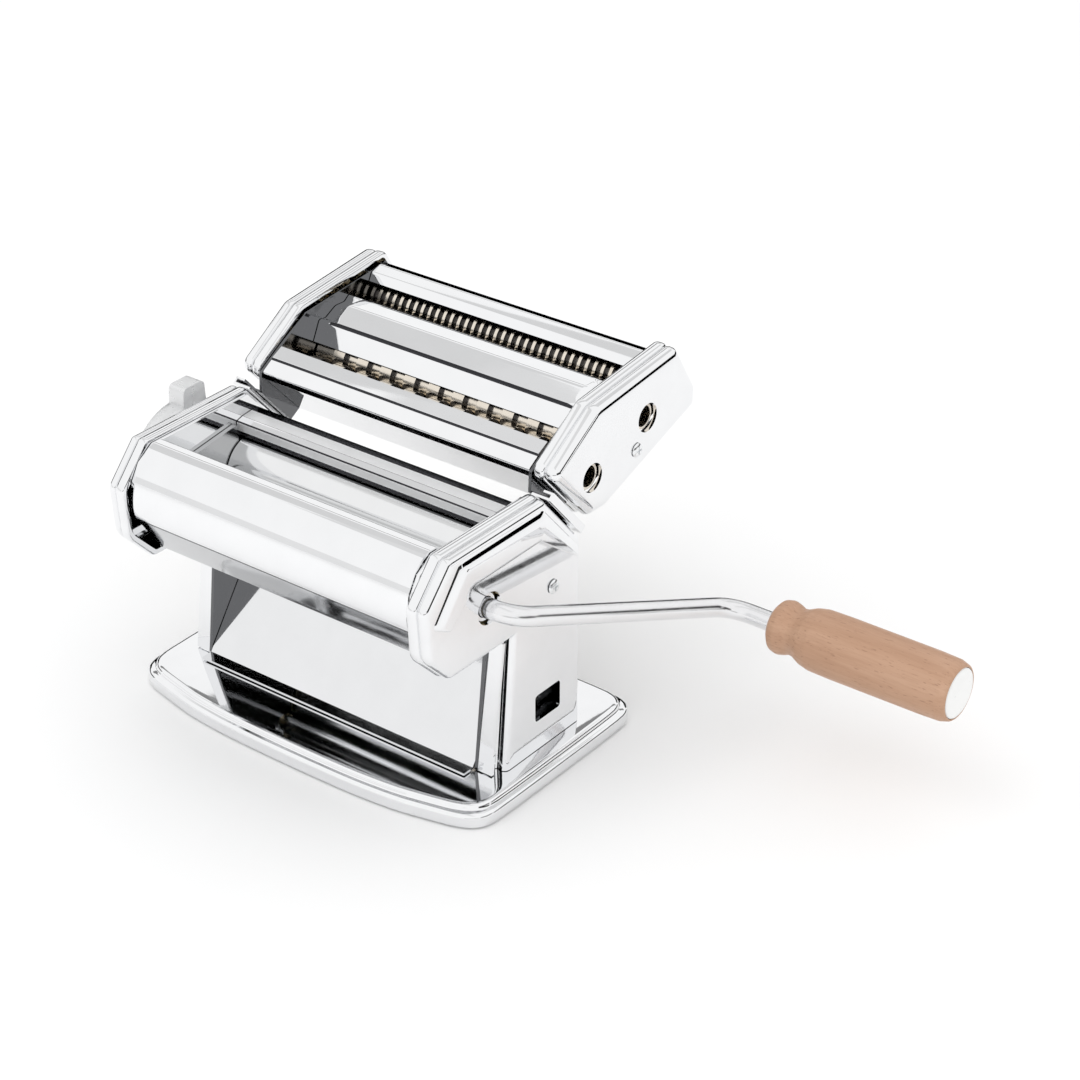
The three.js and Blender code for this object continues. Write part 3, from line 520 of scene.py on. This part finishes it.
piece("look_bearing_tie_rod", turned([(-78, 0), (-78, 1.8), (-77.8, 2), (77.8, 2), (78, 1.8), (78, 0)], 13.5, 74, 24), STEEL, "roller_carriage", ["bearing_tie_rod"])

# ---------------------------------------------------------------- long covers, guide, rods, scrapers
def curve(pts, n=6):
    """A smooth line through the points."""
    out = []
    for i in range(len(pts) - 1):
        p0, p1, p2, p3 = pts[max(i - 1, 0)], pts[i], pts[i + 1], pts[min(i + 2, len(pts) - 1)]
        for k in range(n):
            t = k / n
            out.append(tuple(0.5 * (2 * b + (c - a) * t + (2 * a - 5 * b + 4 * c - d) * t * t + (3 * b - a - 3 * c + d) * t ** 3)
                             for a, b, c, d in zip(p0, p1, p2, p3)))
    return out + [pts[-1]]


SHOULDER = curve([(-50.2, 123.5), (-54.6, 121.5), (-58.6, 117.8), (-61.6, 112.8), (-63.5, 106.8), (-64.25, 101.0), (-63.9, 96.4), (-62.5, 93.1)])
FRONT = [(-42.2, 106), (-45.3, 123.3, 0.9), (-49.2, 123.6)] + SHOULDER + [(-50.8, 75.2, 1.2), (-45, 74.5)]
# The front cover's lower fold is painted darker grey and a near-black line is painted along the fold: painted shade.
piece("look_front_cover", prism(sheet(FRONT, SHEET, 10), -72.3, 72.3), CHROME, "machine", ["front_cover"], angle=26,
      paint=[(LOWER_FOLD_SHADE, lambda x, y, z, n: abs(x) < 72.2 and z < 93.1), (SHADE, lambda x, y, z, n: abs(x) < 72.2 and 93.1 < z < 93.75)])
TOPR = [(-1.0, 106.9), (-1.25, 108.9), (-1.8, 113.2, 0.9), (2.0, 114.3, 0.9), (7.6, 114.84), (11.3, 115.2, 1.0), (28.9, 95.1, 3), (28.9, 76)]
# The rear cover is painted: a painted highlight on its front lip and flat top, and near-black painted shade on its rear
# edge, lower lip and fold lines.
piece("look_rear_cover", prism(sheet(TOPR, -SHEET, 8), -72.3, 72.3), CHROME, "machine", ["rear_cover"], angle=28,
      paint=[(PAINTED_HIGHLIGHT_SATIN, lambda x, y, z, n: abs(x) < 72 and (108.9 < z < 113 and y < 0 or 2.4 < y < 7.6)),
             (SHADE, lambda x, y, z, n: abs(x) < 72 and (z < 108.9 and y < 5 or y > 7.6 and z > 113 or 112.9 < z < 113.7 and y < -0.6 or 1.6 < y < 2.4))])
GUIDE = [(-31.5, LEG_Z + 0.3), (-25.4, LEG_Z + 0.3, 1.2), (25.5, 81.5, 1), (25.5, 90)]
piece("look_dough_guide", prism(sheet(GUIDE, SHEET, 8), -72.3, 72.3), PLATE, "machine", ["dough_guide"], angle=28)
for n, y, z, r in (("front_upper", -53.5, 99, 3), ("front_lower", -46.6, 80.6, 2.5), ("rear_upper", 19.2, 99, 2.8), ("rear_lower", 23.5, 36, 3)):
    piece("look_tie_rod_" + n, turned([(-72.3, 0), (-72.3, r - 0.3), (-72.0, r), (72.0, r), (72.3, r - 0.3), (72.3, 0)], y, z, 32), STEEL, "machine", ["tie_rod_" + n])
piece("look_front_scraper", prism(sheet([(-43.8, 79.0), (-38.0, 80.4)], 0.8), -70, 70), GUARD, "machine", ["front_scraper"], bevel=0.15)
piece("look_rear_scraper", prism(sheet([(10.9, 81.3), (19.6, 80.4)], -0.8), -70, 70), GUARD, "machine", ["rear_scraper"], bevel=0.15)


def ramp(d, n):
    return d * math.cos(RAMP) + n * math.sin(RAMP), -d * math.sin(RAMP) + n * math.cos(RAMP)


def ramp_box(d0, d1, n0, n1, x0, x1):
    return prism([ramp(d0, n0), ramp(d1, n0), ramp(d1, n1), ramp(d0, n1)], x0, x1)


for s in (1, -1):
    sd = "right" if s > 0 else "left"
    me = mesh_of("w", side(ramp_box(-86.5, -55, 87.9, 88.9, 75, 84.4), s))
    me = boolean(me, [side(ramp_box(-86.5, -55, 88.4, 91.5, 83.4, 84.4), s), side(ramp_box(-86.5, -55, 90.5, 91.5, 79.5, 84.0), s),
                      side(ramp_box(-56, -55, 88.4, 90.8, 75, 84.0), s)], "UNION")
    piece("look_head_rail_" + sd, me, CHROME, "machine", ["head_rail_" + sd], bevel=0.25)

# ---------------------------------------------------------------- smooth rollers, gears
def gear(x0, x1, teeth, root, tip, w_root, w_tip, bore, turn, y, z):
    pts = []
    for i in range(teeth):
        a = turn + 2 * math.pi * i / teeth
        c, sn = math.cos(a), math.sin(a)
        for r, w in ((root, -w_root), (root + 0.75 * (tip - root), -0.6 * w_tip - 0.4 * w_root * 0.8), (tip, -w_tip),
                     (tip, w_tip), (root + 0.75 * (tip - root), 0.6 * w_tip + 0.4 * w_root * 0.8), (root, w_root)):
            pts.append((y + c * r - sn * w / 2, z + sn * r + c * w / 2))
    return prism(pts, x0, x1, [circle(y, z, bore, 24)])


BAR = [(-69.9, 5), (-69.9, 13.7), (-69.6, 14.0), (69.6, 14.0), (69.9, 13.7)]
piece("look_drive_roller", turned([(-81.5, 0), (-81.5, 4.6), (-81.1, 5)] + BAR + [(69.9, 6.2), (81.7, 6.2), (82, 5.9), (82, 4.55), (64, 4.55), (64, 0)], *DRIVE, 72),
      ROLLER, "drive_roller", ["drive_roller"])
piece("look_adjustable_roller", turned([(-81.5, 0), (-81.5, 4.6), (-81.1, 5)] + BAR + [(69.9, 5), (81.3, 5), (81.7, 4.6), (81.7, 0)], *REAR, 72),
      ROLLER, "adjustable_roller", ["adjustable_roller"])
piece("look_drive_roller_gear", gear(77.2, 81.4, 12, 10.6, 17.2, 3.2, 1.4, 6.5, 0, *DRIVE), BRONZE, "drive_roller", ["drive_roller_gear"])
piece("look_adjustable_roller_gear", gear(77.2, 81.4, 12, 10.6, 17.2, 3.2, 1.4, 5.3, math.pi / 12, *REAR), BRONZE, "adjustable_roller", ["adjustable_roller_gear"])

# ---------------------------------------------------------------- crank
def bezier(p0, p1, p2, n):
    return [tuple((1 - t) ** 2 * a + 2 * t * (1 - t) * b + t * t * c for a, b, c in zip(p0, p1, p2)) for t in [i / n for i in range(n + 1)]]


def tube(points, r, seg=32, chamfer=0.0):
    verts, faces, rings = [], [], []
    P = [Vector(p) for p in points]
    T = [(P[min(i + 1, len(P) - 1)] - P[max(i - 1, 0)]).normalized() for i in range(len(P))]
    u = Vector((0, 0, 1)) - T[0] * T[0].z
    u.normalize()
    for i, (p, t) in enumerate(zip(P, T)):
        u = (u - t * u.dot(t)).normalized()
        v = t.cross(u)
        rr = r
        ring = []
        for k in range(seg):
            a = 2 * math.pi * k / seg
            q = p + (u * math.cos(a) + v * math.sin(a)) * rr
            ring.append(len(verts))
            verts.append(tuple(q))
        rings.append(ring)
    for A, B in zip(rings, rings[1:]):
        for k in range(seg):
            j = (k + 1) % seg
            faces.append((A[k], A[j], B[j], B[k]))
    faces.append(tuple(rings[0]))
    faces.append(tuple(reversed(rings[-1])))
    return verts, faces


def crank_path(fillet=11.0):
    pts = [Vector((66, *DRIVE)), Vector((95, *DRIVE)), Vector(CRANK_END), Vector((227, CRANK_END[1], CRANK_END[2]))]
    out = [tuple(pts[0])]
    for i in (1, 2):
        u = (pts[i - 1] - pts[i]).normalized() * fillet
        v = (pts[i + 1] - pts[i]).normalized() * fillet
        out += bezier(pts[i] + u, pts[i], pts[i] + v, 20)
    return out + [tuple(pts[3])]


piece("look_crank_rod", tube(crank_path(), 4.2, 40), CHROME_ROD, "crank", ["crank_rod"], angle=40)
GX, BORE = GRIP_X, 4.6
grip = rounded([(0, BORE, 0), (0, 9.0, 0.5), (1.6, 11.0, 1.5), (4.4, 11.65, 3), (7.2, 10.9, 3), (9.5, 9.95, 3), (12, 10.3, 4), (16, 12.2, 5), (20.5, 13.2, 8),
                (30, 13.4, 10), (72, 13.3, 20), (81, 13.0, 4), (84.3, 12.0, 1.2), (85, 11.3, 0.3), (85, 10.9), (82.6, 10.9), (82.6, BORE)], 6, True)
grip_piece = piece("look_crank_grip", turned([(GX + a, r) for a, r in grip] + [(GX, BORE)], CRANK_END[1], CRANK_END[2], 72), WOOD, "crank_grip", ["crank_grip"], angle=40)
grip_piece.visible_glossy = False
plug = [(80.4, 0), (80.4, BORE - 0.4), (82.9, BORE - 0.4), (82.9, 10.6), (84.8, 10.6), (85.15, 10.45), (85.4, 10.0), (85.55, 8.5), (85.7, 0)]
piece("look_grip_end_plug", turned([(GX + a, r) for a, r in plug], CRANK_END[1], CRANK_END[2], 64), WHITE, "crank_grip", ["grip_end_plug"], angle=40)

# ---------------------------------------------------------------- thickness knob and cam
disc = turned([(-98, 0), (-98, 15.5), (-97.2, 16.5), (-97.2, 21.5), (-98, 22.5), (-98, 26.6), (-97.7, 27.5), (-96.6, 28.3), (-89.8, 28.4), (-88.9, 28.0), (-88.4, 27.2),
               (-88.4, 4.1), (-96, 4.1), (-96, 0)], *KNOB, 96)
tab = rounded([(-3.2, 20), (-2.1, 36.2, 2.5), (10.2, 36.2, 2.5), (11.2, 20)], 8)
me = boolean(mesh_of("w", disc), [prism([(KNOB[0] + p[0], KNOB[1] + p[1]) for p in tab], -97.2, -88.6)], "UNION")
notches = [turned([(-99, 0), (-99, 1.7), (-87, 1.7), (-87, 0)], KNOB[0] + 29.3 * math.cos(a), KNOB[1] + 29.3 * math.sin(a), 20)
           for a in [math.radians(v) for v in range(-230, 60, 16)] if abs(math.degrees(a) - 82) > 22 and abs(math.degrees(a) + 278) > 22]
me = boolean(me, notches)
piece("look_thickness_knob", me, KNOBM, "thickness_knob", ["thickness_knob"], bevel=0.5, seg=3)
cam = boolean(mesh_of("w", turned([(-80.2, 0), (-80.2, 6), (-77.2, 6), (-77.2, 0)], KNOB[0] + 1.12, KNOB[1], 48)),
              [turned([(-77.5, 0), (-77.5, 2.5), (-72.8, 2.5), (-72.8, 0)], *KNOB, 32),
               turned([(-95.6, 0), (-95.6, 3.4), (-95.3, 3.7), (-79.9, 3.7), (-79.9, 0)], *KNOB, 32)], "UNION")
piece("look_adjuster_cam", cam, STEEL, "adjuster", ["adjuster_cam"])

# ---------------------------------------------------------------- cutter head
HEAD = [(11, 131.2, 5), (41.8, 150.8, 8), (97, 156.6, 5), (111.5, 133, 5), (111, 123.8, 4), (48, 102.3, 6), (37, 102.6, 4)]
HEAD_FRAME = [ramp(-83, 89.2), (13.4, 130.2), (42.6, 147.3), (95.6, 152.5), (107.9, 132.3), (107.4, 126.2), (47.6, 106), (37.5, 106), ramp(-57, 89.2)]
for s in (1, -1):
    sd = "right" if s > 0 else "left"
    dr = 5.9 if s > 0 else 3.8
    fr = merge(side(prism(HEAD_FRAME, 70.9, 72.3, [circle(*WIDE1, dr, 32), circle(*WIDE2, 3.8, 32), circle(*FINE1, dr, 32), circle(*FINE2, 3.8, 32)]), s),
               side(ramp_box(-83, -57, 89.2, 90.2, 72.32, 83.1), s))
    # The cutter head's inner frames are painted near-black: painted shade.
    piece("look_cutter_frame_" + sd, fr, FRAME_SHADE_STEEL, "cutter_head", ["cutter_frame_" + sd], bevel=0.15)
    lv = [(82.6, 2.4), (72.6, 2.4), (72.6, 1.0), (72.75, 0.6), (73.2, 0.22), (73.9, 0.04), (74.7, 0.0), (75.8, 0.05), (76.6, 0.28), (77.15, 0.7), (77.4, 1.2),
          (77.55, 1.6), (77.9, 1.62), (78.05, 1.2), (78.35, 0.85), (78.9, 0.6), (79.8, 0.52), (80.8, 0.62), (81.6, 0.88), (82.3, 1.3), (82.9, 1.85),
          (83.4, 2.6), (83.8, 3.5), (84.05, 4.6), (84.2, 6.0)]
    shell = loft([(x, rounded(inset(HEAD, d), 10)) for x, d in lv])
    cuts = [turned([(83.2, 0), (83.2, 1.9), (90, 1.9), (90, 0)], 67.7, 121.1, 24)]
    if s > 0:
        cuts += [turned([(80, 0), (80, 6.3), (90, 6.3), (90, 0)], *a, 48) for a in (WIDE1, FINE1)]
    me = boolean(mesh_of("w", side(shell, s)), [side(c, s) for c in cuts])
    piece("look_cutter_cover_" + sd, me, CHROME, "cutter_head", ["cutter_cover_" + sd], angle=30)
    piece("look_cutter_screw_" + sd, screw(s, 67.7, 121.1, 84.4, 1.2), STEEL, "cutter_head", ["cutter_screw_" + sd], angle=35)

HF = [(26, 138), (20.2, 135.2, 0.4), (19.4, 134.2, 0.4), (13.8, 130.7, 1.2), (15.6, 126.6, 0.6), (35.2, 105)]
piece("look_cutter_front_cover", prism(sheet(HF, SHEET, 6), -70.6, 70.6), CHROME, "cutter_head", ["cutter_front_cover"], angle=28,
      paint=[(SHADE, lambda x, y, z, n: abs(x) < 70.3 and (127.4 < z < 129.8 and y < 16 or 134.4 < z < 135.1))])
HR = [(83.4, 147.4), (85.2, 150.9, 2), (91, 152.7, 3.5), (96.6, 151.3, 3.5), (107.6, 133, 2.5), (107.2, 125.4, 1), (97.6, 121.8)]
piece("look_cutter_rear_cover", prism(sheet(HR, -SHEET, 10), -70.6, 70.6), CHROME, "cutter_head", ["cutter_rear_cover"], angle=28)


def hump():
    """A sheet with a pillow pressed up in its middle; its ends sink to the flat sheet."""
    path = rounded([(46.2, 132.6), (50.2, 140.8, 1.2), (61, 146.2, 4), (70.6, 145.8, 0.8), (69.8, 141.5)], 10, True)
    pts, acc = [], [0.0]
    for a, b in zip(path, path[1:]):
        acc.append(acc[-1] + math.hypot(b[0] - a[0], b[1] - a[1]))
    total = acc[-1]
    m = 54
    for k in range(m + 1):
        t = total * k / m
        i = max(j for j in range(len(acc)) if acc[j] <= t + 1e-9)
        i = min(i, len(path) - 2)
        w = (t - acc[i]) / max(acc[i + 1] - acc[i], 1e-9)
        pts.append((path[i][0] * (1 - w) + path[i + 1][0] * w, path[i][1] * (1 - w) + path[i + 1][1] * w))
    smooth = lambda e: max(0.0, min(1.0, e)) ** 2 * (3 - 2 * max(0.0, min(1.0, e)))
    xs = [-70.6, -70.0] + [-69.5 + 0.5 * i for i in range(21)] + [-59 + 118 * i / 12 for i in range(1, 12)] + [59 + 0.5 * i for i in range(22)] + [70.0, 70.6]
    xs = sorted(set(round(x, 3) for x in xs))
    under = offset_path(pts, -SHEET)
    verts, faces = [], []
    n = len(pts)
    for x in xs:
        for row, lower in ((pts, 0), (under, 1)):
            for k, (y, z) in enumerate(row):
                mid = smooth((y - 50.5) / 4.5) * smooth((70.4 - y) / 4.0)
                edge = 66.0 - 2.5 * (1 - mid)
                drop = 2.3 * (1 - smooth((edge - abs(x)) / 3.2)) * mid
                verts.append((x, y, z - drop))
    w = 2 * n
    for i in range(len(xs) - 1):
        for k in range(n - 1):
            a = i * w + k
            faces.append((a, a + 1, a + w + 1, a + w))
            faces.append((a + n, a + n + w, a + n + w + 1, a + n + 1))
        for k in (0, n - 1):
            a = i * w + k
            faces.append((a, a + w, a + w + n, a + n))
    for i in (0, len(xs) - 1):
        for k in range(n - 1):
            a = i * w + k
            faces.append((a, a + n, a + n + 1, a + 1))
    return verts, faces


piece("look_cutter_centre_cover", hump(), CHROME, "cutter_head", ["cutter_centre_cover"], angle=40,
      paint=[(SHADE, lambda x, y, z, n: abs(x) < 65 and 50.4 < y < 51.6)])


def cutter(centres, half, driven, axis, seg):
    p = [(-81.5, 0), (-81.5, 3.2), (-81.2, 3.5), (-70.2, 3.5), (-70.2, 6.9)]
    for c in centres:
        p += [(c - half, 6.9), (c - half, 8.85), (c - half + 0.12, 9.0), (c + half - 0.12, 9.0), (c + half, 8.85), (c + half, 6.9)]
    p.append((70.2, 6.9))
    p += [(70.2, 5.7), (82, 5.7), (82, 4.6), (66, 4.6), (66, 0)] if driven else [(70.2, 3.5), (78.7, 3.5), (79, 3.2), (79, 0)]
    return turned(p, *axis, seg)


line = lambda a, p, n: [a + p * i for i in range(n)]
for name, a1, a2, c1, c2, half in (("wide", WIDE1, WIDE2, line(-62.9, 13, 10), line(-56.4, 13, 10), 3.05),
                                   ("fine", FINE1, FINE2, line(-66.9, 4, 34), line(-68.9, 4, 35), 0.85)):
    piece("look_%s_cutter_front" % name, cutter(c1, half, True, a1, 48), CUTTER, name + "_front", [name + "_cutter_front"], angle=30,
          paint=[(SHADE, lambda x, y, z, n: abs(n.x) > 0.6 and abs(x) < 70)])
    piece("look_%s_cutter_rear" % name, cutter(c2, half, False, a2, 48), CUTTER, name + "_rear", [name + "_cutter_rear"], angle=30,
          paint=[(SHADE, lambda x, y, z, n: abs(n.x) > 0.6 and abs(x) < 70)])
    piece("look_%s_gear_front" % name, gear(-80.6, -76.6, 12, 6.7, 9.4, 2, 1, 3.8, TILT, *a1), BRONZE, name + "_front", [name + "_gear_front"])
    piece("look_%s_gear_rear" % name, gear(-80.6, -76.6, 12, 6.7, 9.4, 2, 1, 3.8, TILT + math.pi / 12, *a2), BRONZE, name + "_rear", [name + "_gear_rear"])
    for end, ax, deg, r1 in (("front", a1, -107, 12.6), ("rear", a2, -62, 13)):
        c, sn = math.cos(math.radians(deg)), math.sin(math.radians(deg))
        blade = sheet([(ax[0] + c * 9.5, ax[1] + sn * 9.5), (ax[0] + c * r1, ax[1] + sn * r1)], 0.8)
        piece("look_%s_scraper_%s" % (name, end), prism(blade, -70.2, 70.2), GUARD, "cutter_head", ["%s_scraper_%s" % (name, end)], bevel=0.12)

# ---------------------------------------------------------------- floor, light, camera
def stage_mesh(name, verts, faces, material, seen=True):
    me = bpy.data.meshes.new(name)
    me.from_pydata(verts, [], faces)
    me.materials.append(material)
    o = bpy.data.objects.new(name, me)
    bpy.context.scene.collection.objects.link(o)
    if not seen:
        o.visible_camera = False
        o.visible_shadow = False
        o.visible_diffuse = False
    return o


fm = bpy.data.materials.new("pale_floor")
fm.use_nodes = True
fb = fm.node_tree.nodes["Principled BSDF"]
fb.inputs["Base Color"].default_value = (0.93, 0.93, 0.93, 1)
fb.inputs["Roughness"].default_value = 0.9
fb.inputs["Specular IOR Level"].default_value = 0.1
stage_mesh("floor", [(-6, -6, 0), (6, -6, 0), (6, 6, 0), (-6, 6, 0)], [(0, 1, 2, 3)], fm)


def flag(name, azimuth, elevation, distance, width, height, value, roll=0.0):
    """A card seen only in reflections, facing the machine from that direction."""
    m = bpy.data.materials.new("card_" + name)
    m.use_nodes = True
    nt = m.node_tree
    nt.nodes.clear()
    e = nt.nodes.new("ShaderNodeEmission")
    e.inputs["Color"].default_value = (value, value, value, 1)
    e.inputs["Strength"].default_value = 1.0
    out = nt.nodes.new("ShaderNodeOutputMaterial")
    nt.links.new(e.outputs[0], out.inputs[0])
    az, el = math.radians(azimuth), math.radians(elevation)
    d = Vector((math.sin(az) * math.cos(el), -math.cos(az) * math.cos(el), math.sin(el)))
    c = Vector((0, 0, 0.08)) + d * distance
    r = Vector((0, 0, 1)).cross(d).normalized()
    u = d.cross(r)
    cr, sr = math.cos(math.radians(roll)), math.sin(math.radians(roll))
    r, u = r * cr + u * sr, u * cr - r * sr
    vs = [tuple(c + r * a * width / 2 + u * b * height / 2) for a, b in ((-1, -1), (1, -1), (1, 1), (-1, 1))]
    return stage_mesh("card_" + name, vs, [(0, 1, 2, 3)], m, seen=False)


CARDS = (
    # name, azimuth, elevation, distance, width, height, value
    ("back_left", -142, 9, 1.9, 2.9, 0.74, 0.0),
    ("back_right", 142, 7, 1.9, 2.2, 0.50, 0.0),
    ("left", -88, 6, 1.9, 1.1, 0.45, 0.03),
    ("right", 86, 9, 1.9, 1.5, 0.56, 0.03),
    ("front_left", -40, 4, 2.0, 2.2, 0.30, 0.86),
    ("front_right", 38, 2, 2.6, 1.9, 0.26, 0.25),
    ("strip", -139, 37, 1.7, 2.6, 0.13, 0.25),
    ("over", -150, 60, 1.9, 2.6, 0.50, 0.74),
    ("crown", -20, 80, 1.8, 2.4, 0.30, 0.80),
)
for f in CARDS:
    flag(*f)

world = bpy.data.worlds.new("soft_white")
world.use_nodes = True
world.node_tree.nodes["Background"].inputs["Color"].default_value = (1, 1, 1, 1)
world.node_tree.nodes["Background"].inputs["Strength"].default_value = 1.04
bpy.context.scene.world = world


def area(name, azimuth, elevation, distance, size, power):
    l = bpy.data.lights.new(name, "AREA")
    l.shape, l.size, l.energy = "DISK", size, power
    o = bpy.data.objects.new(name, l)
    az, el = math.radians(azimuth), math.radians(elevation)
    d = Vector((math.sin(az) * math.cos(el), -math.cos(az) * math.cos(el), math.sin(el)))
    o.location = Vector((0, 0, 0.08)) + d * distance
    o.rotation_euler = d.to_track_quat("Z", "Y").to_euler()
    o.visible_glossy = False
    bpy.context.scene.collection.objects.link(o)


area("key", -35, 60, 1.7, 1.3, 4)
area("fill", 80, 50, 1.8, 1.3, 1.5)

cam = bpy.data.cameras.new("view")
cam.sensor_width, cam.lens = 36.0, 92.225
cam.clip_start, cam.clip_end = 0.05, 50
co = bpy.data.objects.new("view", cam)
az, el, roll = math.radians(37.495), math.radians(29.917), math.radians(0.042)
back = Vector((math.sin(az) * math.cos(el), -math.cos(az) * math.cos(el), math.sin(el)))
right = Vector((0, 0, 1)).cross(back).normalized()
up = back.cross(right)
rot = Matrix((right, up, back)).transposed().to_4x4()
co.matrix_world = Matrix.Translation((0.6565, -0.7426, 0.6493)) @ rot
bpy.context.scene.collection.objects.link(co)
bpy.context.scene.camera = co
bpy.context.scene.view_settings.view_transform = "Standard"
bpy.context.scene.view_settings.exposure = 0.0
